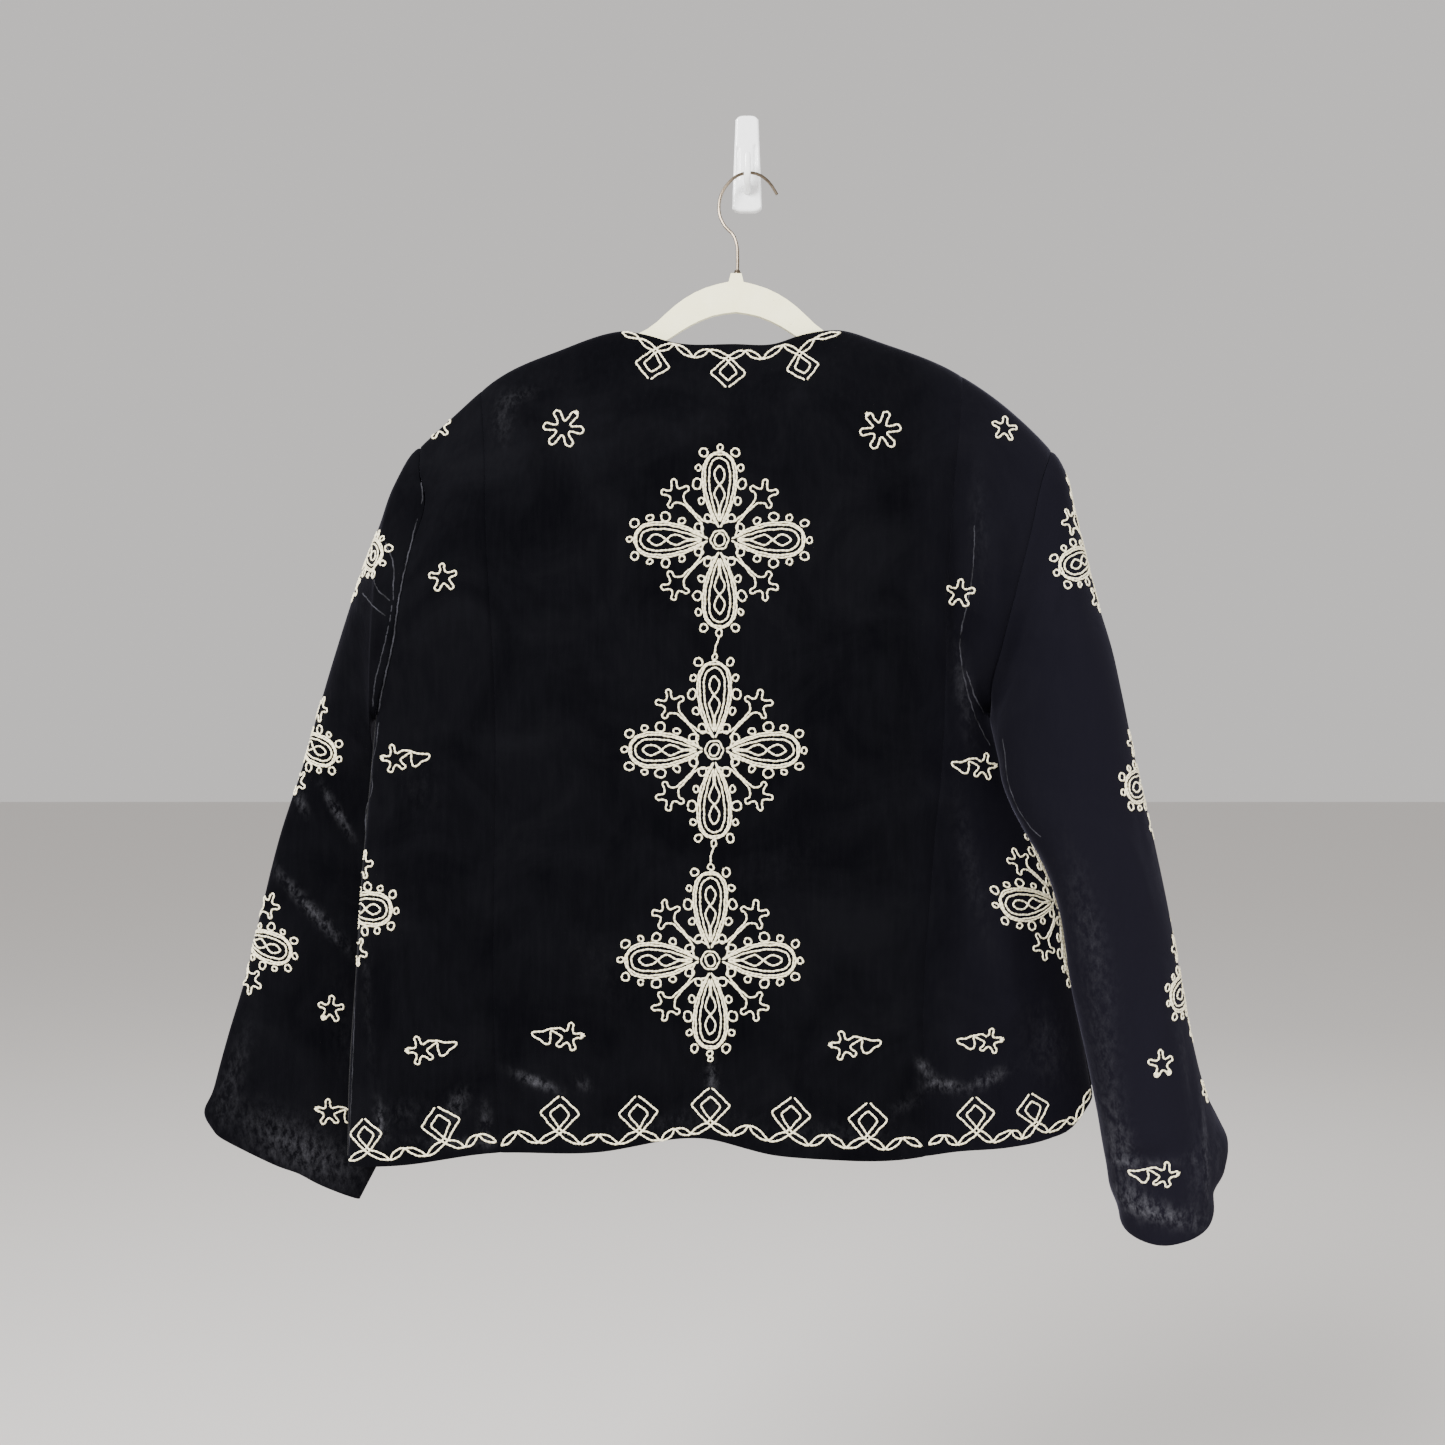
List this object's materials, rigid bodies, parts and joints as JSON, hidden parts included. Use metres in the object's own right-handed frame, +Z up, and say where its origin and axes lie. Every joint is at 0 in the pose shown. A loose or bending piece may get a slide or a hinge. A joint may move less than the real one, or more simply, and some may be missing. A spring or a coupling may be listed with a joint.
{
  "type": "embroidered jacket on a hanger and wall hook",
  "caption": "Collarless velvet jacket, hung back outwards on a slim flocked hanger from an adhesive wall hook, with chain-stitch flower medallions and a wave border.",
  "frame": {"origin": "centre of the flat back face of the wall hook's plate", "axes": "+Y into the wall, +Z up, +X to the right as seen from the room; the jacket's back faces -Y"},
  "size_m": [0.794, 0.1275, 0.8769],
  "materials": {
    "velvet": "short crushed pile",
    "flocked_plastic": "flocked",
    "steel": "polished wire",
    "white_plastic": "gloss"
  },
  "bodies": {
    "root": {"back_centre": "velvet", "back_side_left": "velvet", "back_side_right": "velvet", "front_left": "velvet", "front_right": "velvet", "sleeve_left": "velvet", "sleeve_right": "velvet", "hanger": "flocked_plastic", "hanger_wire": "steel", "wall_hook": "white_plastic"}
  },
  "joints": []
}
